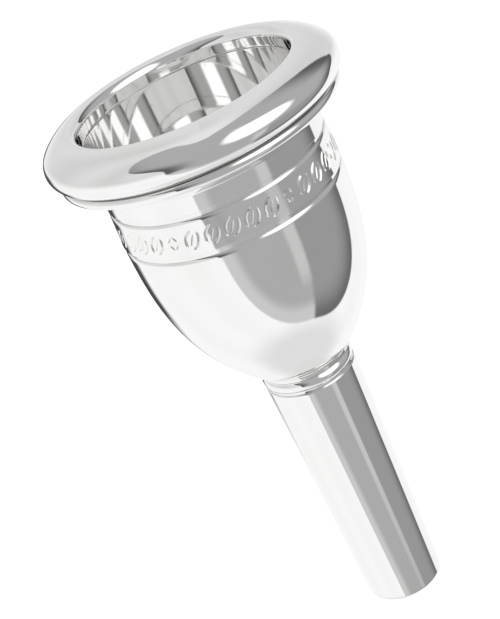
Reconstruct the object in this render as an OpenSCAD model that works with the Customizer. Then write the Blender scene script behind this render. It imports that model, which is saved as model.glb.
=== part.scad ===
// Mouthpiece for a tuba, in three turned pieces: a screw-on rim, a cup and a tapered shank.
// A seal ring sits in each threaded joint. +Z runs up the axis, from the open end of the
// shank to the top of the rim, and the origin is the centre of that open end.

/* [Overall] */
// Height from the open end of the shank to the top of the rim
total_h = 95.9; // [93:0.1:98]

/* [Rim] */
// Outside diameter of the rim
rim_d = 46.4; // [46.2:0.1:46.6]
// Diameter at the bite, the inner edge of the rim
bite_d = 33.4; // [33.3:0.05:33.5]
// Radius of the rounding at the top of the rim
crown_r = 1.5; // [1.4:0.05:1.6]
// Radius of the rounding on the outside of the rim
shoulder_r = 2.3; // [2.2:0.05:2.4]
// Radius of the broad curve that joins those two roundings
dome_r = 7.8; // [6:0.1:12]

/* [Cup] */
// Outside diameter of the cup at its widest, just under the band
cup_d = 35.4; // [35.2:0.1:35.8]
// Outside diameter of the flange under the rim
flange_d = 44.2; // [44:0.1:44.4]
// Height of the plain band between the two grooves
band_h = 5.4; // [5:0.1:5.8]
// Width of each groove
groove_w = 0.7; // [0.5:0.1:0.8]
// Depth of each groove
groove_deep = 0.35; // [0.2:0.05:0.4]

/* [Air way] */
// Diameter of the throat
throat_d = 8.2; // [7.8:0.1:8.4]
// Diameter of the air way at the open end of the shank
outlet_d = 11; // [10:0.1:11.4]

/* [Shank] */
// Outside diameter of the shank at its open end
shank_end_d = 13; // [12.8:0.1:13.2]
// Outside diameter of the shank under its bead
shank_top_d = 15.1; // [14.9:0.1:15.3]

/* [Threads] */
// Pitch of the thread that holds the rim
rim_pitch = 0.8; // [0.75:0.05:0.8]
// Pitch of the thread that holds the shank
shank_pitch = 1; // [0.95:0.05:1]

/* [Hidden] */
$fn = 120;

// Play between a thread's crest and the wall that faces it
thread_play = 0.1;
// Play left around each seal ring and between faces that meet
seat_play = 0.05;

// Levels, counted down from the top of the rim
crown_z = total_h - crown_r;
rim_wide_z = total_h - 3.75;
bite_z = total_h - 2.7;
bowl_seam_z = total_h - 3.05;
rim_foot_z = total_h - 5.9;
flange_top_z = rim_foot_z - seat_play;
flange_wide_z = total_h - 6.85;
flange_foot_z = total_h - 9.3;
upper_groove_z = total_h - 12.6;
lower_groove_z = upper_groove_z - groove_w - band_h;
bowl_top_z = lower_groove_z - groove_w;
throat_z = total_h - 37.1;
neck_z = total_h - 47.7;
joint_z = total_h - 49;

// Radii
rim_r = rim_d / 2;
bite_r = bite_d / 2;
shoulder_x = rim_r - shoulder_r;
crown_x = bite_r + crown_r;
notch_r = shoulder_x + 0.5;
cup_r = cup_d / 2;
flange_r = flange_d / 2;
flange_round = 0.8;
band_top_r = cup_r - 0.3;
waist_r = cup_r - 0.35;
neck_r = 7.35;
throat_r = throat_d / 2;
outlet_r = outlet_d / 2;
bell_r = 1.5;
shank_end_r = shank_end_d / 2;
shank_top_r = shank_top_d / 2;
bead_rise = 0.35;
end_round = 0.3;

// Joint between rim and cup: a threaded collar on the cup, inside the rim
collar_core_r = 18.25;
collar_crest_r = 18.7;
collar_bore_r = collar_crest_r + thread_play;
collar_top_z = bowl_seam_z - seat_play;
rim_seal_r = 0.38;
rim_seal_x = 19.38;
rim_recess_r = rim_seal_x + rim_seal_r + seat_play;
rim_recess_z = flange_top_z + 2 * rim_seal_r + 2 * seat_play;
rim_thread_z = flange_top_z + 0.93;

// Joint between cup and shank: a threaded spigot on the shank, inside the cup
spigot_h = 6;
spigot_core_r = 5.35;
spigot_crest_r = 5.8;
spigot_land_r = 5.82;
socket_r = spigot_crest_r + thread_play;
socket_top_z = joint_z + spigot_h + 0.2;
shank_seal_r = 0.3;
shank_seal_x = spigot_land_r + 0.03 + shank_seal_r;
seal_groove_r = shank_seal_x + shank_seal_r + seat_play;
seal_groove_z = joint_z + 0.5;
seal_groove_w = 2 * shank_seal_r + 2 * seat_play;
spigot_thread_z = joint_z + 2;

// Points along an arc about (x, z) from angle a to angle b
function arc(x, z, r, a, b, steps = 16) =
    [for (i = [0:steps]) let (t = a + (b - a) * i / steps) [x + r * cos(t), z + r * sin(t)]];

// Points from p to q on an arc that stands out by rise to the right of that line
function bow(p, q, rise, steps = 12) =
    let (chord = q - p)
    let (side = [chord[1], -chord[0]] / norm(chord))
    [for (i = [0:steps]) let (t = i / steps) p + chord * t + side * (4 * rise * t * (1 - t))];

// Points along a cubic curve from a to d that b and c pull on
function curve(a, b, c, d, steps = 28) =
    [for (i = [0:steps]) let (t = i / steps, s = 1 - t)
        s * s * s * a + 3 * s * s * t * b + 3 * s * t * t * c + t * t * t * d];

// The same points in the opposite order
function backwards(points) = [for (i = [len(points) - 1:-1:0]) points[i]];

// Centre of a circle of radius big that wraps round a circle at p and one at q from inside
function wrap(p, p_r, q, q_r, big) =
    let (gap = norm(q - p), u = (q - p) / gap, far_p = big - p_r, far_q = big - q_r)
    let (along = (far_p * far_p - far_q * far_q + gap * gap) / (2 * gap))
    p + u * along + [u[1], -u[0]] * sqrt(far_p * far_p - along * along);

dome = wrap([crown_x, crown_z], crown_r, [shoulder_x, rim_wide_z], shoulder_r, dome_r);
crown_a = atan2(crown_z - dome[1], crown_x - dome[0]);
shoulder_a = atan2(rim_wide_z - dome[1], shoulder_x - dome[0]);

module turned(points) {
    rotate_extrude(convexity = 8)
        polygon(points);
}

// One helical ridge. root is the radius of its base and crest that of its top, mid_z the
// height of its middle where it starts, and foot_w and top_w its widths.
module ridge(root, crest, mid_z, pitch, turns, foot_w, top_w, steps_per_turn) {
    steps = ceil(turns * steps_per_turn);
    outline = [[root, -foot_w / 2], [root, foot_w / 2], [crest, top_w / 2], [crest, -top_w / 2]];
    points = [for (i = [0:steps], p = outline)
        let (turn = turns * i / steps)
        [p[0] * cos(360 * turn), p[0] * sin(360 * turn), mid_z + p[1] + pitch * turn]];
    start = [[0, 1, 2], [0, 2, 3]];
    sides = [for (i = [0:steps - 1], k = [0:3])
        let (a = 4 * i + k, b = 4 * i + (k + 1) % 4)
        each [[a, a + 4, b], [b, a + 4, b + 4]]];
    last = 4 * steps;
    finish = [[last, last + 2, last + 1], [last, last + 3, last + 2]];
    inward = crest < root;
    faces = concat(start, sides, finish);
    polyhedron(points, inward ? [for (f = faces) [f[2], f[1], f[0]]] : faces, convexity = 8);
}

module rim() {
    color("silver") {
        turned(concat(
            [[collar_bore_r, bowl_seam_z], [bite_r - 0.07, bowl_seam_z], [bite_r, bite_z]],
            arc(crown_x, crown_z, crown_r, 180, crown_a),
            arc(dome[0], dome[1], dome_r, crown_a, shoulder_a, 10),
            arc(shoulder_x, rim_wide_z, shoulder_r, shoulder_a, -60, 24),
            [[notch_r, rim_foot_z], [rim_recess_r, rim_foot_z]],
            [[rim_recess_r, rim_recess_z], [collar_bore_r, rim_recess_z]]
        ));
        ridge(collar_bore_r + 0.05, collar_core_r + thread_play, rim_thread_z + rim_pitch / 2,
            rim_pitch, 1.4, 0.5, 0.16, 72);
    }
}

module rim_seal() {
    color("dimgray")
        rotate_extrude()
            translate([rim_seal_x, flange_top_z + seat_play + rim_seal_r])
                circle(r = rim_seal_r, $fn = 32);
}

// Outline of the bowl, from the seam down to the throat
bowl = concat(
    curve([bite_r - 0.08, collar_top_z], [bite_r - 0.4, total_h - 21.6],
        [bite_r - 2.7, total_h - 23.6], [throat_r + bell_r, throat_z], 40),
    arc(throat_r + bell_r, throat_z - bell_r, bell_r, 100, 180, 8));

// Outline of the cup's outside, from the neck up to the collar
neck = bow([neck_r, joint_z + 0.4], [neck_r + 0.95, neck_z], -0.1, 6);
belly = curve([cup_r - 0.05, bowl_top_z], [cup_r - 0.2, total_h - 27.8],
    [cup_r - 0.25, total_h - 37.9], [neck_r + 0.95, neck_z], 40);
band = [
    [cup_r - groove_deep, bowl_top_z], [cup_r - groove_deep, lower_groove_z],
    [cup_r, lower_groove_z], [band_top_r, upper_groove_z - groove_w],
    [band_top_r - groove_deep, upper_groove_z - groove_w],
    [band_top_r - groove_deep, upper_groove_z], [waist_r, upper_groove_z],
    [waist_r, flange_foot_z - 0.7]
];
flange = concat(
    arc(waist_r + 0.6, flange_foot_z - 0.7, 0.6, 180, 90, 6),
    bow([waist_r + 1.2, flange_foot_z], [flange_r - 0.4, flange_wide_z - 0.7], 0.06),
    arc(flange_r - flange_round, flange_wide_z, flange_round, -55, 75),
    [[notch_r, flange_top_z]]);

module cup() {
    color("silver") {
        turned(concat(
            bowl,
            [[throat_r, socket_top_z], [socket_r, socket_top_z]],
            [[socket_r, seal_groove_z + seal_groove_w], [seal_groove_r, seal_groove_z + seal_groove_w]],
            [[seal_groove_r, seal_groove_z], [socket_r, seal_groove_z]],
            [[socket_r, joint_z], [neck_r, joint_z]],
            neck, backwards(belly), band, flange,
            [[collar_core_r, flange_top_z], [collar_core_r, collar_top_z]]
        ));
        ridge(collar_core_r - 0.05, collar_crest_r, rim_thread_z, rim_pitch, 1.75, 0.5, 0.16, 72);
        ridge(socket_r + 0.05, spigot_core_r + thread_play, spigot_thread_z + shank_pitch / 2,
            shank_pitch, 3.4, 0.62, 0.2, 48);
    }
}

module shank_seal() {
    color("dimgray")
        rotate_extrude()
            translate([shank_seal_x, seal_groove_z + seat_play + shank_seal_r])
                circle(r = shank_seal_r, $fn = 32);
}

module shank() {
    color("silver") {
        turned(concat(
            // air way, from the open end up to the throat
            [[outlet_r, 0], [throat_r, joint_z + 2], [throat_r, joint_z + spigot_h]],
            // spigot
            [[spigot_core_r, joint_z + spigot_h], [spigot_core_r, joint_z + 1.5]],
            [[spigot_land_r, joint_z + 1.3], [spigot_land_r, joint_z - seat_play]],
            // bead, groove and taper
            [[neck_r - 0.05, joint_z - seat_play]],
            bow([neck_r - 0.05, joint_z - 0.2], [neck_r - 0.05, joint_z - 1.9], -bead_rise),
            [[neck_r - 0.1, joint_z - 2.1]],
            arc(shank_top_r - 0.25, joint_z - 2.6, 0.25, 90, 0, 6),
            arc(shank_end_r - end_round, end_round, end_round, 0, -90, 6)
        ));
        ridge(spigot_core_r - 0.05, spigot_crest_r, spigot_thread_z, shank_pitch, 3.6, 0.62, 0.2, 48);
    }
}

rim();
rim_seal();
cup();
shank_seal();
shank();
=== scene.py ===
"""Looks of a silver-plated tuba mouthpiece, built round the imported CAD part.

Lengths are in millimetres until they go into a mesh. The axis is +Z.
"""

import math

import bpy
import numpy as np
from mathutils import Matrix, Vector
from mathutils.geometry import delaunay_2d_cdt


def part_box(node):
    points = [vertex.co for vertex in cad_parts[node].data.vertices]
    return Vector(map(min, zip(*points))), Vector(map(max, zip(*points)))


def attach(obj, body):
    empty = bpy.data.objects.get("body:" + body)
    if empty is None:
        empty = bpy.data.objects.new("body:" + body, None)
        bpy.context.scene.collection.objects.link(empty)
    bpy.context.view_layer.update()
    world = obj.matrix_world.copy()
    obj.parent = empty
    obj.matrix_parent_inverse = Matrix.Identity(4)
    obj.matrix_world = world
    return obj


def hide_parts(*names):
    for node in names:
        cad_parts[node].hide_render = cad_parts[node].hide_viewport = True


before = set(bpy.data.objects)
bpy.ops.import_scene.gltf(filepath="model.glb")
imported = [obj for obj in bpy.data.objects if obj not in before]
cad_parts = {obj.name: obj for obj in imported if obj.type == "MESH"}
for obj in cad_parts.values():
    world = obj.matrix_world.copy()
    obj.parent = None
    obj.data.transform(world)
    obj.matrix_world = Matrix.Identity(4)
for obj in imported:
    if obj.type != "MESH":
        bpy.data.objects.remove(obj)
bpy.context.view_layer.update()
MM = 0.001

# ---------------------------------------------------------------- dimensions
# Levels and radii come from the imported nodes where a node's box gives them.


def top_of(node):
    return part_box(node)[1].z / MM


def foot_of(node):
    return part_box(node)[0].z / MM


def radius_of(node):
    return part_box(node)[1].x / MM


TOTAL_H = top_of("rim")
RIM_R = radius_of("rim")
RIM_FOOT_Z = foot_of("rim")
FLANGE_R = radius_of("cup")
JOINT_Z = foot_of("cup")
COLLAR_TOP_Z = top_of("cup")
SPIGOT_TOP_Z = top_of("shank")

SEAT_PLAY = 0.05
THREAD_PLAY = 0.1

BITE_R = 16.7
CROWN_R = 1.5
SHOULDER_R = 2.3
DOME_R = 7.8
CROWN_X = BITE_R + CROWN_R
CROWN_Z = TOTAL_H - CROWN_R
SHOULDER_X = RIM_R - SHOULDER_R
SHOULDER_Z = TOTAL_H - 3.75
SHOULDER_END = -60  # degrees; below it the rim cuts in to the notch
BITE_Z = TOTAL_H - 2.7
SEAM_Z = TOTAL_H - 3.05
SEAM_R = BITE_R - 0.07
NOTCH_R = SHOULDER_X + 0.5
FLANGE_TOP_Z = RIM_FOOT_Z - SEAT_PLAY
FLANGE_WIDE_Z = TOTAL_H - 6.85
FLANGE_ROUND = 0.8
FLANGE_FOOT_Z = TOTAL_H - 9.3

CUP_R = 17.7
WAIST_R = CUP_R - 0.35
WAIST_FILLET = 0.6
BAND_TOP_R = CUP_R - 0.3
BAND_H = 5.4
GROOVE_W = 0.7
GROOVE_DEEP = 0.35
BAND_ROUND = 0.85  # rounding of the band's upper edge
BELLY_ROUND = 0.95  # rounding of the belly's upper edge
ROUND_DROP = 0.7  # how far below the edge a rounding is centred, in roundings
ROUND_END = 44  # degrees of arc in such a rounding
UPPER_GROOVE_Z = TOTAL_H - 12.6
BAND_TOP_Z = UPPER_GROOVE_Z - GROOVE_W
BAND_FOOT_Z = BAND_TOP_Z - BAND_H
BOWL_TOP_Z = BAND_FOOT_Z - GROOVE_W
NECK_Z = TOTAL_H - 47.7
NECK_R = 7.35
NECK_TOP_R = NECK_R + 0.95
NECK_FOOT_H = 0.4
NECK_DISH = 0.1

THROAT_Z = TOTAL_H - 37.1
THROAT_R = 4.1
OUTLET_R = 5.5
BELL_R = 1.5

COLLAR_CORE_R = 18.25
COLLAR_CREST_R = 18.7
COLLAR_BORE_R = COLLAR_CREST_R + THREAD_PLAY
RIM_SEAL_R = 0.38
RIM_SEAL_X = 19.38
RIM_RECESS_R = RIM_SEAL_X + RIM_SEAL_R + SEAT_PLAY
RIM_RECESS_Z = FLANGE_TOP_Z + 2 * RIM_SEAL_R + 2 * SEAT_PLAY
RIM_THREAD_Z = FLANGE_TOP_Z + 0.93
RIM_PITCH = 0.8
RIM_RIDGE = (0.5, 0.16)  # widths of the ridge at its foot and its top
RIM_TURNS = 1.4
COLLAR_TURNS = 1.75

SPIGOT_CORE_R = 5.35
SPIGOT_CREST_R = 5.8
SPIGOT_LAND_R = 5.82
SOCKET_R = SPIGOT_CREST_R + THREAD_PLAY
SOCKET_TOP_Z = SPIGOT_TOP_Z + 0.2
SHANK_SEAL_R = 0.3
SHANK_SEAL_X = SPIGOT_LAND_R + 0.03 + SHANK_SEAL_R
SEAL_GROOVE_R = SHANK_SEAL_X + SHANK_SEAL_R + SEAT_PLAY
SEAL_GROOVE_Z = JOINT_Z + 0.5
SEAL_GROOVE_W = 2 * SHANK_SEAL_R + 2 * SEAT_PLAY
SHANK_THREAD_Z = JOINT_Z + 2
SHANK_PITCH = 1.0
SHANK_RIDGE = (0.62, 0.2)
SOCKET_TURNS = 3.4
SPIGOT_TURNS = 3.6
RIDGE_SUNK = 0.05  # how far a ridge's foot is sunk into its wall

BORE_TOP_Z = JOINT_Z + 2
SPIGOT_FOOT_Z = JOINT_Z + 1.5
SPIGOT_LAND_Z = JOINT_Z + 1.3
SHANK_FACE_Z = JOINT_Z - SEAT_PLAY
BEAD_R = NECK_R - 0.05
BEAD_TOP_Z = JOINT_Z - 0.2
BEAD_FOOT_Z = JOINT_Z - 1.9
BEAD_RISE = 0.35
STEP_R = NECK_R - 0.1
STEP_Z = JOINT_Z - 2.1
SHANK_TOP_R = 7.55
SHANK_TOP_Z = JOINT_Z - 2.6
SHANK_TOP_ROUND = 0.25
SHANK_END_R = 6.5
END_ROUND = 0.3

EDGE_ROUND = 0.08
SHANK_EDGE_ROUND = 0.06
SEGMENTS = 288

CUT_DEPTH = 0.8  # depth of an engraved cut, as a share of its half width
GROUPS = 6
LEAVES = 5  # in each group
LEAF_TALL = 3.6
LEAF_WIDE = 1.9
LEAF_LEAN = math.radians(28)
EDGE_CUT = 0.25  # half width of a leaf's edge cut
FINE_CUT = 0.17  # half width of a vein or a lozenge's cut
VEIN_SHARE = 0.55
LOZENGE_H = 1.2

CAMERA_LENS = 85.59
CAMERA_AT = (0, -0.20483, 0.15897)
CAMERA_RIGHT = (0.90818, -0.16790, -0.38342)
CAMERA_BACK = (0.02023, -0.89734, 0.44087)
BOUNCES = 16

# ---------------------------------------------------------------- outlines


def arc(x, z, r, start, end, steps=20):
    """Points on an arc about (x, z), angles in degrees."""
    angles = np.radians(np.linspace(start, end, steps + 1))
    return [(x + r * math.cos(a), z + r * math.sin(a)) for a in angles]


def bow(p, q, rise, steps=14):
    """Points from p to q on an arc that stands out by rise to the right."""
    p, q = np.array(p, float), np.array(q, float)
    chord = q - p
    side = np.array([chord[1], -chord[0]]) / np.linalg.norm(chord)
    ts = np.linspace(0, 1, steps + 1)
    return [tuple(p + chord * t + side * 4 * rise * t * (1 - t)) for t in ts]


def curve(a, b, c, d, steps=56):
    """Points on a cubic curve from a to d that b and c pull on."""
    a, b, c, d = (np.array(p, float) for p in (a, b, c, d))
    points = []
    for t in np.linspace(0, 1, steps + 1):
        s = 1 - t
        points.append(tuple(s**3 * a + 3 * s * s * t * b + 3 * s * t * t * c + t**3 * d))
    return points


def soften(points, radius, least_turn=22):
    """The same closed outline with its sharp corners rounded."""
    count = len(points)
    out = []
    for i in range(count):
        before, here, after = (np.array(points[(i + k) % count], float) for k in (-1, 0, 1))
        inward, outward = here - before, after - here
        long_in, long_out = np.linalg.norm(inward), np.linalg.norm(outward)
        turn = math.atan2(
            inward[0] * outward[1] - inward[1] * outward[0], float(inward @ outward)
        )
        if abs(turn) < math.radians(least_turn):
            out.append(tuple(here))
            continue
        back = min(radius * math.tan(abs(turn) / 2), 0.45 * long_in, 0.45 * long_out)
        start = here - inward / long_in * back
        end = here + outward / long_out * back
        for t in (0, 0.25, 0.5, 0.75, 1):
            out.append(tuple((1 - t) ** 2 * start + 2 * t * (1 - t) * here + t * t * end))
    return out


# ---------------------------------------------------------------- meshes


def clear_of(points, strokes, margin=0.06):
    """Which of the points lie outside every stroke, by the margin at least."""
    clear = np.full(len(points), True)
    for stroke in strokes:
        line = np.array(stroke)
        for (u, v, half), (u2, v2, half2) in zip(line, line[1:]):
            along = np.array([u2 - u, v2 - v])
            away = points - (u, v)
            share = np.clip(away @ along / (along @ along), 0, 1)
            gap = np.linalg.norm(away - share[:, None] * along, axis=1)
            clear &= gap > max(half, half2) + margin
    return clear


class Shell:
    """Vertices and faces on their way to becoming one mesh."""

    def __init__(self):
        self.points = []
        self.faces = []
        self.hard = []
        self.slots = []

    def add(self, points, faces, hard=False):
        start = len(self.points)
        self.points.extend(points)
        self.add_faces([[start + i for i in f] for f in faces], hard)

    def add_faces(self, faces, hard=False, slot=0):
        self.faces.extend(faces)
        self.hard.extend([hard] * len(faces))
        self.slots.extend([slot] * len(faces))

    def turned(self, outline, gap=None):
        """A closed outline of (radius, height) swept round the axis.

        gap is the index of a row of faces to leave out. Returns the first vertex of each ring.
        """
        rings = [self.ring(r, z) for r, z in outline]
        for i, (a, b) in enumerate(zip(rings, rings[1:] + rings[:1])):
            if i == gap:
                continue
            sides = [(k, (k + 1) % SEGMENTS) for k in range(SEGMENTS)]
            self.add_faces([[a + k, a + n, b + n, b + k] for k, n in sides])
        return rings

    def ring(self, r, z):
        """A ring of vertices; returns the first one's index."""
        start = len(self.points)
        for k in range(SEGMENTS):
            a = 2 * math.pi * k / SEGMENTS
            self.points.append((r * math.cos(a), r * math.sin(a), z))
        return start

    def ridge(self, root, crest, mid_z, pitch, turns, widths, per_turn=96):
        """One helical ridge, with ends that run out in a fifth of a turn.

        widths are along the axis, at the foot and at the top.
        """
        foot_w, top_w = widths
        steps = math.ceil(turns * per_turn)
        fade = 0.2 * per_turn
        points = []
        for i in range(steps + 1):
            share = min(1, i / fade, (steps - i) / fade)
            top = root + (crest - root) * (0.15 + 0.85 * math.sqrt(share))
            turn = turns * i / steps
            a = 2 * math.pi * turn
            for r, z in (
                (root, -foot_w / 2),
                (root, foot_w / 2),
                (top, top_w / 2),
                (top, -top_w / 2),
            ):
                points.append((r * math.cos(a), r * math.sin(a), mid_z + z + pitch * turn))
        faces = [[3, 2, 1, 0]]
        for i in range(steps):
            for k in range(4):
                a, b = 4 * i + k, 4 * i + (k + 1) % 4
                faces.append([a, b, b + 4, a + 4])
        last = 4 * steps
        faces.append([last, last + 1, last + 2, last + 3])
        if crest < root:
            faces = [f[::-1] for f in faces]
        self.add(points, faces, hard=True)

    def engraved(self, lower, upper, low_ring, high_ring, strokes, rows=15, close=1e-4):
        """The face between two rings, with V-shaped cuts.

        lower and upper are (radius, height). A stroke is a list of (u, v, half width), with u
        in millimetres round the face and v its height. The face is laid out flat, cut into
        triangles round the strokes, and wrapped round the axis again.
        """
        girth = math.pi * (lower[0] + upper[0])
        columns = [girth * k / SEGMENTS for k in range(SEGMENTS + 1)]
        at, edges, outlines, floors = [], [], [], set()
        for v in np.linspace(lower[1], upper[1], rows):
            row = np.array([(u, v) for u in columns])
            at += [tuple(p) for p in row[clear_of(row, strokes)]]
        for stroke in strokes:
            centre, left, right = [], [], []
            for i, (u, v, half) in enumerate(stroke):
                before, after = stroke[max(i - 1, 0)], stroke[min(i + 1, len(stroke) - 1)]
                du, dv = after[0] - before[0], after[1] - before[1]
                long = math.hypot(du, dv)
                side = (-dv / long * half, du / long * half)
                centre.append((u, v))
                if 0 < i < len(stroke) - 1:
                    left.append((u + side[0], v + side[1]))
                    right.append((u - side[0], v - side[1]))
            start = len(at)
            count = len(centre)
            at += centre + left + right
            floors.update(range(start + 1, start + count - 1))
            edges += [(start + i, start + i + 1) for i in range(count - 1)]
            left_at = list(range(start + count, start + count + len(left)))
            right_at = list(range(start + count + len(left), len(at)))
            outlines.append([start] + right_at + [start + count - 1] + left_at[::-1])
        points, _, faces, came_from, _, in_faces = delaunay_2d_cdt(
            [Vector(p) for p in at], edges, outlines, 0, 1e-5
        )
        halves = {}
        for stroke, outline in zip(strokes, outlines):
            for i, (_, _, half) in enumerate(stroke):
                halves[outline[0] + i] = half
        index = []
        by_height = {}
        for p, sources in zip(points, came_from):
            u, v = p
            if abs(v - lower[1]) < close or abs(v - upper[1]) < close:
                ring = low_ring if abs(v - lower[1]) < close else high_ring
                index.append(ring + round(u / girth * SEGMENTS) % SEGMENTS)
                continue
            key = round(v, 4)
            if abs(u - girth) < close and key in by_height:
                index.append(by_height[key])
                continue
            share = (v - lower[1]) / (upper[1] - lower[1])
            r = lower[0] + (upper[0] - lower[0]) * share
            widest = max([halves[i] for i in sources if i in floors], default=0)
            r -= CUT_DEPTH * widest
            a = 2 * math.pi * u / girth
            index.append(len(self.points))
            if abs(u) < close:
                by_height[key] = index[-1]
            self.points.append((r * math.cos(a), r * math.sin(a), v))
        plain, cut = [], []
        for f, within in zip(faces, in_faces):
            turned = [index[i] for i in f]
            (cut if within else plain).append(turned)
        self.add_faces(plain)
        self.add_faces(cut, hard=True, slot=1)

    def build(self, name, materials):
        mesh = bpy.data.meshes.new(name)
        at = np.array(self.points, float)
        mesh.from_pydata([tuple(p * MM) for p in at], [], self.faces)
        mesh.polygons.foreach_set("use_smooth", [True] * len(mesh.polygons))
        mesh.polygons.foreach_set("material_index", self.slots)
        for m in materials:
            mesh.materials.append(m)
        mesh.normals_split_custom_set(self.corner_normals(at))
        mesh.update()
        made = bpy.data.objects.new(name, mesh)
        bpy.context.scene.collection.objects.link(made)
        return made

    def corner_normals(self, at):
        """One normal for each corner of each face.

        A soft face shares its neighbours' direction, weighted by area; a hard one keeps its own.
        """
        corner = np.array([v for f in self.faces for v in f])
        sizes = np.array([len(f) for f in self.faces])
        first = np.concatenate([[0], np.cumsum(sizes)[:-1]])
        last = first + sizes - 1
        third = at[corner[first + 2]]
        own = np.cross(third - at[corner[first]], at[corner[last]] - at[corner[first + 1]])
        hard = np.array(self.hard)
        per_corner = np.repeat(np.where(hard[:, None], 0, own), sizes, axis=0)
        total = np.zeros_like(at)
        for k in range(3):
            total[:, k] = np.bincount(corner, per_corner[:, k], len(at))
        use_own = np.repeat(hard, sizes)
        normals = np.where(use_own[:, None], np.repeat(own, sizes, axis=0), total[corner])
        size = np.linalg.norm(normals, axis=1, keepdims=True)
        return (normals / np.maximum(size, 1e-12)).tolist()


# ---------------------------------------------------------------- materials


class Sums:
    """Arithmetic on shader sockets."""

    def __init__(self, tree):
        self.tree = tree

    def node(self, kind, **settings):
        made = self.tree.nodes.new(kind)
        for key, value in settings.items():
            setattr(made, key, value)
        return made

    def put(self, socket, value):
        if isinstance(value, bpy.types.NodeSocket):
            self.tree.links.new(value, socket)
        else:
            socket.default_value = value

    def do(self, operation, *values):
        made = self.node("ShaderNodeMath", operation=operation)
        for socket, value in zip(made.inputs, values):
            self.put(socket, value)
        return made.outputs[0]

    def step(self, value, low, high, start=0.0, end=1.0):
        """A smooth step from start to end as value goes from low to high."""
        made = self.node("ShaderNodeMapRange", interpolation_type="SMOOTHSTEP")
        for name, x in (
            ("Value", value),
            ("From Min", low),
            ("From Max", high),
            ("To Min", start),
            ("To Max", end),
        ):
            self.put(made.inputs[name], x)
        return made.outputs[0]

    def blend(self, share, a, b):
        made = self.node("ShaderNodeMix", data_type="FLOAT")
        self.put(made.inputs[0], share)
        self.put(made.inputs[2], a)
        self.put(made.inputs[3], b)
        return made.outputs[0]


def place_on_piece(k):
    """The shaded point's place on the piece, its distance from the axis and its height."""
    at = k.node("ShaderNodeTexCoord").outputs["Object"]
    apart = k.node("ShaderNodeSeparateXYZ")
    k.put(apart.inputs[0], at)
    x, y, z = apart.outputs
    r = k.do("SQRT", k.do("ADD", k.do("MULTIPLY", x, x), k.do("MULTIPLY", y, y)))
    return at, r, z


def noise(k, at, scale, detail=3.0, rough=0.55, stretch=None):
    """Noise from 0 to 1, with about scale blotches to the metre."""
    if stretch:
        spread = k.node("ShaderNodeVectorMath", operation="MULTIPLY")
        k.put(spread.inputs[0], at)
        k.put(spread.inputs[1], stretch)
        at = spread.outputs[0]
    made = k.node("ShaderNodeTexNoise")
    k.put(made.inputs["Vector"], at)
    made.inputs["Scale"].default_value = scale
    made.inputs["Detail"].default_value = detail
    made.inputs["Roughness"].default_value = rough
    return made.outputs["Fac"]


def turned_lines(k, r, z, scale):
    """Noise that is the same all round the axis, as a lathe tool leaves it."""
    ring = k.node("ShaderNodeCombineXYZ")
    k.put(ring.inputs[0], r)
    k.put(ring.inputs[2], z)
    return noise(k, ring.outputs[0], scale, 2.0, 0.6)


def hairlines(k, at, turn, scale):
    """Thin scratches that run one way, and break up."""
    turned = k.node("ShaderNodeVectorRotate", rotation_type="EULER_XYZ")
    k.put(turned.inputs["Vector"], at)
    turned.inputs["Rotation"].default_value = turn
    streak = noise(k, turned.outputs[0], scale, 1.0, 0.4, (1.0, 1.0, 0.04))
    breaks = noise(k, at, scale * 0.12, 1.0)
    line = k.step(streak, 0.70, 0.74)
    return k.do("MULTIPLY", line, k.step(breaks, 0.55, 0.65))


def bump(k, height, distance, before=None):
    """A bump whose full height is distance, in metres, on top of the one before."""
    made = k.node("ShaderNodeBump")
    made.inputs["Strength"].default_value = 1.0
    made.inputs["Distance"].default_value = distance
    k.put(made.inputs["Height"], height)
    if before:
        k.put(made.inputs["Normal"], before)
    return made.outputs[0]


def new_material(name):
    m = bpy.data.materials.new(name)
    m.use_nodes = True
    return m, m.node_tree.nodes["Principled BSDF"], Sums(m.node_tree)


def mix_colour(k, share, a, b):
    made = k.node("ShaderNodeMix", data_type="RGBA")
    k.put(made.inputs[0], share)
    k.put(made.inputs[6], a)
    k.put(made.inputs[7], b)
    return made.outputs[2]


def silver(name, polish, painted_corner_shade, line_depth):
    """Polished silver plate: faint blotches, lathe lines, wipe marks and hairlines, and painted
    shade that darkens its corners.

    polish is the lowest roughness, the figure after it how far painted shade darkens the
    corners, and line_depth the height of the lathe lines in metres.
    """
    m, shader, k = new_material(name)
    at, r, z = place_on_piece(k)
    clean = (0.957, 0.956, 0.953, 1)
    worn = (0.925, 0.921, 0.912, 1)
    painted_shade_colour = (0.20, 0.195, 0.185, 1)
    blotch = noise(k, at, 70.0, 4.0)
    patch = k.step(blotch, 0.45, 0.75, 0.0, 0.55)
    # painted shade: where the ambient occlusion finds corners and hollows, the base colour is
    # mixed towards a dark grey
    corner = k.node("ShaderNodeAmbientOcclusion", samples=8)
    corner.inputs["Distance"].default_value = 0.0011
    shade = k.step(corner.outputs["AO"], 0.25, 0.8, 1.0, 0.0)
    shade = k.do("MULTIPLY", shade, painted_corner_shade)
    colour = mix_colour(k, shade, mix_colour(k, patch, clean, worn), painted_shade_colour)
    k.put(shader.inputs["Base Color"], colour)
    shader.inputs["Metallic"].default_value = 1.0

    wipes = noise(k, at, 240.0, 3.0, 0.6, (1.0, 1.0, 0.35))
    scratch = k.do(
        "MAXIMUM",
        hairlines(k, at, (0.5, 0.2, 0.0), 2600.0),
        hairlines(k, at, (-0.7, 0.9, 0.4), 2100.0),
    )
    rough = k.step(wipes, 0.35, 0.75, polish, polish + 0.05)
    rough = k.do("ADD", rough, k.do("MULTIPLY", shade, 0.25))
    rough = k.do("ADD", rough, k.do("MULTIPLY", scratch, 0.12))
    k.put(shader.inputs["Roughness"], rough)

    lines = bump(k, turned_lines(k, r, z, 2400.0), line_depth)
    wave = bump(k, noise(k, at, 55.0, 1.0), 3e-5, lines)
    k.put(shader.inputs["Normal"], bump(k, scratch, -1.2e-6, wave))
    return m


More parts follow.
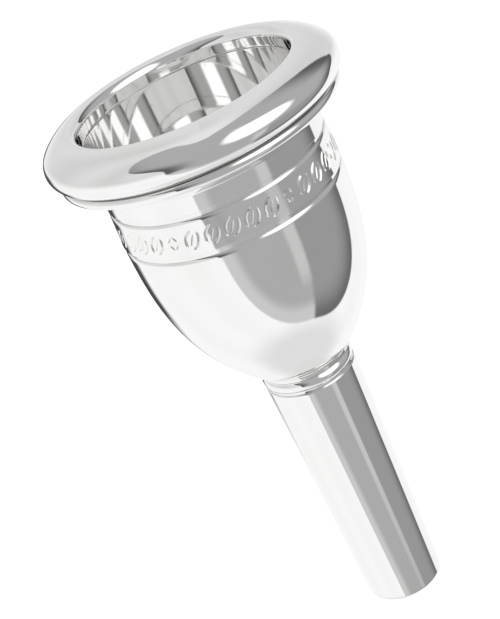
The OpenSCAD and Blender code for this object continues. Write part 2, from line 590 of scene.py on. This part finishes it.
def rubber(name):
    """Black moulded rubber with a fine grain, dusty in patches."""
    m, shader, k = new_material(name)
    at, _, _ = place_on_piece(k)
    dust = k.step(noise(k, at, 900.0, 4.0), 0.5, 0.8)
    k.put(
        shader.inputs["Base Color"],
        mix_colour(k, dust, (0.018, 0.018, 0.020, 1), (0.055, 0.053, 0.050, 1)),
    )
    grain = noise(k, at, 5200.0, 3.0)
    k.put(shader.inputs["Roughness"], k.step(grain, 0.3, 0.7, 0.42, 0.68))
    k.put(shader.inputs["Normal"], bump(k, grain, 1e-5))
    return m


# painted shade: both silvers darken in their hollows from the occlusion, and the engraved cuts
# more than the plain plate
PLATE = silver("silver_plate", polish=0.015, painted_corner_shade=0.55, line_depth=4e-7)
CUT = silver("engraved_silver", polish=0.16, painted_corner_shade=0.8, line_depth=2e-6)
SEAL = rubber("black_rubber")

# ---------------------------------------------------------------- the pieces


def place(piece, body, slot, *nodes):
    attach(piece, body)
    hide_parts(*nodes)
    return piece


def wrap(p, p_r, q, q_r, big):
    """Centre of a circle of radius big that wraps a circle at p and one at q from inside."""
    p, q = np.array(p), np.array(q)
    gap = np.linalg.norm(q - p)
    u = (q - p) / gap
    far_p, far_q = big - p_r, big - q_r
    along = (far_p**2 - far_q**2 + gap**2) / (2 * gap)
    return p + u * along + np.array([u[1], -u[0]]) * math.sqrt(far_p**2 - along**2)


def angle_from(centre, x, z):
    return math.degrees(math.atan2(z - centre[1], x - centre[0]))


def make_rim():
    dome = wrap((CROWN_X, CROWN_Z), CROWN_R, (SHOULDER_X, SHOULDER_Z), SHOULDER_R, DOME_R)
    crown_a = angle_from(dome, CROWN_X, CROWN_Z)
    shoulder_a = angle_from(dome, SHOULDER_X, SHOULDER_Z)
    outline = [(COLLAR_BORE_R, SEAM_Z), (SEAM_R, SEAM_Z), (BITE_R, BITE_Z)]
    outline += arc(CROWN_X, CROWN_Z, CROWN_R, 180, crown_a, 32)
    outline += arc(dome[0], dome[1], DOME_R, crown_a, shoulder_a, 20)[1:]
    outline += arc(SHOULDER_X, SHOULDER_Z, SHOULDER_R, shoulder_a, SHOULDER_END, 40)[1:]
    outline += [(NOTCH_R, RIM_FOOT_Z), (RIM_RECESS_R, RIM_FOOT_Z)]
    outline += [(RIM_RECESS_R, RIM_RECESS_Z), (COLLAR_BORE_R, RIM_RECESS_Z)]
    shell = Shell()
    shell.turned(soften(outline[::-1], EDGE_ROUND))
    shell.ridge(
        COLLAR_BORE_R + RIDGE_SUNK,
        COLLAR_CORE_R + THREAD_PLAY,
        RIM_THREAD_Z + RIM_PITCH / 2,
        RIM_PITCH,
        RIM_TURNS,
        RIM_RIDGE,
    )
    return place(shell.build("rim_ring", [PLATE]), "rim", "silver", "rim")


def leaf(u, v):
    """Strokes of one engraved leaf: two curved edges and a vein between them."""
    cos, sin = math.cos(LEAF_LEAN), math.sin(LEAF_LEAN)
    strokes = []
    for bulge, share, half in ((1, 1, EDGE_CUT), (-1, 1, EDGE_CUT), (0, VEIN_SHARE, FINE_CUT)):
        stroke = []
        for t in np.linspace(-share, share, 13):
            along = t * LEAF_TALL / 2
            across = bulge * LEAF_WIDE / 2 * (1 - t * t) ** 0.8
            ends = math.sqrt(max(0, 1 - (t / share) ** 2))
            width = half * (0.25 + 0.75 * ends)
            stroke.append((u + across * cos + along * sin, v - across * sin + along * cos, width))
        # the two edges stop short of each other at the leaf's tips
        strokes.append(stroke[1:-1] if bulge else stroke)
    return strokes


def lozenge(u, v):
    """Strokes of one small engraved lozenge."""
    tall, wide = LOZENGE_H, LOZENGE_H * 0.7
    corners = [(0, tall), (wide, 0), (0, -tall), (-wide, 0)]
    strokes = []
    for i in range(4):
        (a, b), (c, d) = corners[i], corners[(i + 1) % 4]
        stroke = []
        for t in (0.12, 0.35, 0.5, 0.65, 0.88):
            half = FINE_CUT * (0.4 + 0.6 * (1 - abs(2 * t - 1)))
            stroke.append((u + a + (c - a) * t, v + b + (d - b) * t, half))
        strokes.append(stroke)
    return strokes


def make_ornament(lower, upper):
    """A border of leaning leaves in groups, with a lozenge between groups."""
    girth = math.pi * (lower[0] + upper[0])
    mid = (lower[1] + upper[1]) / 2
    places = GROUPS * (LEAVES + 1)
    pitch = girth / places
    strokes = []
    for i in range(places):
        shape = lozenge if i % (LEAVES + 1) == LEAVES else leaf
        strokes += shape((i + 0.5) * pitch, mid)
    return strokes


def rounded_edge(r, z, radius):
    """The rounding under an edge whose widest radius is r and whose level is z."""
    return arc(r - radius, z - ROUND_DROP * radius, radius, 0, ROUND_END, 10)


def make_cup():
    bowl = curve(
        (BITE_R - 0.08, COLLAR_TOP_Z),
        (BITE_R - 0.4, TOTAL_H - 21.6),
        (BITE_R - 2.7, TOTAL_H - 23.6),
        (THROAT_R + BELL_R, THROAT_Z),
        72,
    )
    bowl += arc(THROAT_R + BELL_R, THROAT_Z - BELL_R, BELL_R, 100, 180, 10)
    socket = [
        (THROAT_R, SOCKET_TOP_Z),
        (SOCKET_R, SOCKET_TOP_Z),
        (SOCKET_R, SEAL_GROOVE_Z + SEAL_GROOVE_W),
        (SEAL_GROOVE_R, SEAL_GROOVE_Z + SEAL_GROOVE_W),
        (SEAL_GROOVE_R, SEAL_GROOVE_Z),
        (SOCKET_R, SEAL_GROOVE_Z),
        (SOCKET_R, JOINT_Z),
        (NECK_R, JOINT_Z),
    ]
    neck = bow((NECK_R, JOINT_Z + NECK_FOOT_H), (NECK_TOP_R, NECK_Z), -NECK_DISH, 6)
    belly_top = rounded_edge(CUP_R - 0.05, BOWL_TOP_Z, BELLY_ROUND)
    belly = curve(
        belly_top[0],
        (CUP_R - 0.2, TOTAL_H - 27.8),
        (CUP_R - 0.25, TOTAL_H - 37.9),
        (NECK_TOP_R, NECK_Z),
        72,
    )[::-1]
    belly += belly_top[1:]
    band = [
        (CUP_R - GROOVE_DEEP, BOWL_TOP_Z),
        (CUP_R - GROOVE_DEEP, BAND_FOOT_Z),
        (CUP_R, BAND_FOOT_Z),
        *rounded_edge(BAND_TOP_R, BAND_TOP_Z, BAND_ROUND),
        (BAND_TOP_R - GROOVE_DEEP, BAND_TOP_Z),
        (BAND_TOP_R - GROOVE_DEEP, UPPER_GROOVE_Z),
        (WAIST_R, UPPER_GROOVE_Z),
    ]
    flange = arc(WAIST_R + WAIST_FILLET, FLANGE_FOOT_Z - 0.7, WAIST_FILLET, 180, 90, 8)
    flange += bow((WAIST_R + 1.2, FLANGE_FOOT_Z), (FLANGE_R - 0.4, FLANGE_WIDE_Z - 0.7), 0.06)
    flange += arc(FLANGE_R - FLANGE_ROUND, FLANGE_WIDE_Z, FLANGE_ROUND, -55, 75, 24)
    flange += [(NOTCH_R, FLANGE_TOP_Z)]
    collar = [(COLLAR_CORE_R, FLANGE_TOP_Z), (COLLAR_CORE_R, COLLAR_TOP_Z)]
    shell = Shell()
    whole = bowl + socket + neck[:-1] + belly + band + flange + collar
    outline = soften(whole, EDGE_ROUND)
    mid_z = (BAND_FOOT_Z + BAND_TOP_Z) / 2
    face = next(
        i
        for i, (p, q) in enumerate(zip(outline, outline[1:]))
        if p[1] < mid_z < q[1] and p[0] > BAND_TOP_R - GROOVE_DEEP
    )
    rings = shell.turned(outline, gap=face)
    lower, upper = outline[face], outline[face + 1]
    shell.engraved(lower, upper, rings[face], rings[face + 1], make_ornament(lower, upper))
    shell.ridge(
        COLLAR_CORE_R - RIDGE_SUNK,
        COLLAR_CREST_R,
        RIM_THREAD_Z,
        RIM_PITCH,
        COLLAR_TURNS,
        RIM_RIDGE,
    )
    shell.ridge(
        SOCKET_R + RIDGE_SUNK,
        SPIGOT_CORE_R + THREAD_PLAY,
        SHANK_THREAD_Z + SHANK_PITCH / 2,
        SHANK_PITCH,
        SOCKET_TURNS,
        SHANK_RIDGE,
    )
    return place(shell.build("cup_shell", [PLATE, CUT]), "cup", "silver", "cup")


def make_shank():
    outline = [(OUTLET_R, 0), (THROAT_R, BORE_TOP_Z), (THROAT_R, SPIGOT_TOP_Z)]
    outline += [(SPIGOT_CORE_R, SPIGOT_TOP_Z), (SPIGOT_CORE_R, SPIGOT_FOOT_Z)]
    outline += [(SPIGOT_LAND_R, SPIGOT_LAND_Z), (SPIGOT_LAND_R, SHANK_FACE_Z)]
    outline += [(BEAD_R, SHANK_FACE_Z)]
    outline += bow((BEAD_R, BEAD_TOP_Z), (BEAD_R, BEAD_FOOT_Z), -BEAD_RISE)
    outline += [(STEP_R, STEP_Z)]
    outline += arc(SHANK_TOP_R - SHANK_TOP_ROUND, SHANK_TOP_Z, SHANK_TOP_ROUND, 90, 0, 8)
    outline += arc(SHANK_END_R - END_ROUND, END_ROUND, END_ROUND, 0, -90, 8)
    shell = Shell()
    shell.turned(soften(outline[::-1], SHANK_EDGE_ROUND))
    shell.ridge(
        SPIGOT_CORE_R - RIDGE_SUNK,
        SPIGOT_CREST_R,
        SHANK_THREAD_Z,
        SHANK_PITCH,
        SPIGOT_TURNS,
        SHANK_RIDGE,
    )
    return place(shell.build("shank_tube", [PLATE]), "shank", "silver", "shank")


def make_seal(name, x, z, r, node):
    """A round ring: x is its mid radius, z its mid height and r its thickness' half."""
    shell = Shell()
    shell.turned(arc(x, z, r, 0, 360, 32)[:-1])
    return place(shell.build(name, [SEAL]), node, "seal", node)


make_rim()
make_cup()
make_shank()
make_seal(
    "rim_ring_seal", RIM_SEAL_X, FLANGE_TOP_Z + SEAT_PLAY + RIM_SEAL_R, RIM_SEAL_R, "rim_seal"
)
make_seal(
    "shank_ring_seal",
    SHANK_SEAL_X,
    SEAL_GROOVE_Z + SEAT_PLAY + SHANK_SEAL_R,
    SHANK_SEAL_R,
    "shank_seal",
)

# ---------------------------------------------------------------- studio


def make_floor(half=3.0):
    """A pale floor, in metres, that the silver doesn't mirror: the world stands in for it."""
    corners = [(-half, -half, 0), (half, -half, 0), (half, half, 0), (-half, half, 0)]
    mesh = bpy.data.meshes.new("floor")
    mesh.from_pydata(corners, [], [(0, 1, 2, 3)])
    floor = bpy.data.objects.new("floor", mesh)
    bpy.context.scene.collection.objects.link(floor)
    m = bpy.data.materials.new("pale_floor")
    m.use_nodes = True
    shader = m.node_tree.nodes["Principled BSDF"]
    shader.inputs["Base Color"].default_value = (0.9, 0.9, 0.9, 1)
    shader.inputs["Roughness"].default_value = 0.9
    shader.inputs["Emission Color"].default_value = (1, 1, 1, 1)
    shader.inputs["Emission Strength"].default_value = 0.6
    mesh.materials.append(m)
    floor.visible_glossy = False


def studio_level(k, az, el):
    """Brightness of the studio by direction, in degrees: az is 0 at -Y and 90 at +X.

    A white tent has one wide grey opening in front, and a soft lamp hangs in it.
    """
    up = k.do("MAXIMUM", el, 0.0)
    down = k.do("MAXIMUM", k.do("MULTIPLY", el, -1.0), 0.0)

    # the tent: pale above, white below, with soft folds and a dark slot at the back left
    wall = k.step(el, -12.0, 14.0, 0.96, 0.70)
    fold = k.do("SINE", k.do("ADD", k.do("MULTIPLY", az, 0.11), k.do("MULTIPLY", el, 0.05)))
    fold = k.do("MULTIPLY", fold, k.step(el, 0.0, 30.0, 0.012, 0.04))
    wall = k.do("ADD", wall, fold)
    wall = k.step(el, 62.0, 84.0, wall, 0.80)
    wall = k.step(el, -74.0, -56.0, 0.76, wall)
    slot = k.do("MULTIPLY", k.step(az, -178.0, -172.0), k.step(az, -150.0, -138.0, 1.0, 0.0))
    slot = k.do("MULTIPLY", slot, k.step(el, -34.0, -27.0))
    slot = k.do("MULTIPLY", slot, k.step(el, -9.0, -3.0, 1.0, 0.0))
    wall = k.blend(slot, wall, 0.07)

    # the opening: its edge is at 1
    lean = k.do("MULTIPLY", k.do("POWER", k.do("DIVIDE", up, 57.0), 2.5), 66.0)
    left_w = k.do("ADD", lean, 75.0)
    right_w = k.step(el, -14.0, 19.0, 75.0, 94.0)
    off = k.do("SUBTRACT", az, 41.0)
    width = k.blend(k.do("GREATER_THAN", off, 0.0), left_w, right_w)
    across = k.do("POWER", k.do("DIVIDE", k.do("ABSOLUTE", off), width), 3.0)
    over = k.do("POWER", k.do("DIVIDE", up, 86.0), 6.0)
    under = k.do("POWER", k.do("DIVIDE", down, 63.0), 3.0)
    edge = k.do("ADD", k.do("ADD", across, over), under)
    high = k.step(edge, 0.25, 0.92, 0.42, 0.11)
    high = k.step(el, 35.0, 70.0, high, 0.42)

    # its lower part: a paler left side, a bright streak of light, a dark right side
    left_low = k.step(edge, 0.45, 0.75, 0.42, 0.60)
    right_low = k.step(edge, 0.30, 0.95, 0.32, 0.15)
    low = k.blend(k.step(az, 40.0, 47.0), left_low, right_low)
    streak = k.do("MULTIPLY", k.step(az, 29.0, 35.0), k.step(az, 42.0, 47.0, 1.0, 0.0))
    streak = k.do("MULTIPLY", streak, k.step(el, -46.0, -34.0))
    low = k.blend(k.do("MULTIPLY", streak, 0.8), low, 0.62)
    opening = k.blend(k.step(el, -24.0, -6.0), low, high)
    level = k.step(edge, 0.96, 1.05, opening, wall)

    # the lamp
    lamp_x = k.do("DIVIDE", k.do("SUBTRACT", az, 42.0), 33.0)
    lamp_y = k.do("DIVIDE", k.do("SUBTRACT", el, 33.0), 38.0)
    lamp_r = k.do("ADD", k.do("MULTIPLY", lamp_x, lamp_x), k.do("MULTIPLY", lamp_y, lamp_y))
    return k.step(lamp_r, 0.55, 1.15, 1.25, level)


def make_world():
    world = bpy.data.worlds.new("studio")
    bpy.context.scene.world = world
    world.use_nodes = True
    tree = world.node_tree
    back = tree.nodes["Background"]
    k = Sums(tree)
    way = k.node("ShaderNodeSeparateXYZ")
    k.put(way.inputs[0], k.node("ShaderNodeTexCoord").outputs["Generated"])
    x, y, z = way.outputs
    degree = 180 / math.pi
    az = k.do("MULTIPLY", k.do("ARCTAN2", x, k.do("MULTIPLY", y, -1.0)), degree)
    el = k.do("MULTIPLY", k.do("ARCSINE", z), degree)
    level = studio_level(k, az, el)
    shown = k.node("ShaderNodeCombineXYZ")
    for socket in shown.inputs:
        k.put(socket, level)
    k.put(back.inputs["Color"], shown.outputs[0])
    back.inputs["Strength"].default_value = 1.0


def make_camera():
    """The camera that was fitted to the photograph's outlines."""
    data = bpy.data.cameras.new("camera")
    data.lens = CAMERA_LENS
    data.sensor_width = 36
    data.clip_start = 0.01
    cam = bpy.data.objects.new("camera", data)
    right = Vector(CAMERA_RIGHT).normalized()
    back = Vector(CAMERA_BACK).normalized()
    up = back.cross(right).normalized()
    right = up.cross(back)
    turn = Matrix((right, up, back)).transposed().to_4x4()
    cam.matrix_world = Matrix.Translation(CAMERA_AT) @ turn
    bpy.context.scene.collection.objects.link(cam)
    bpy.context.scene.camera = cam


make_floor()
make_world()
make_camera()
bpy.context.scene.view_settings.view_transform = "Standard"
# light bounces many times between the walls of the polished bowl
bpy.context.scene.cycles.max_bounces = BOUNCES
bpy.context.scene.cycles.glossy_bounces = BOUNCES
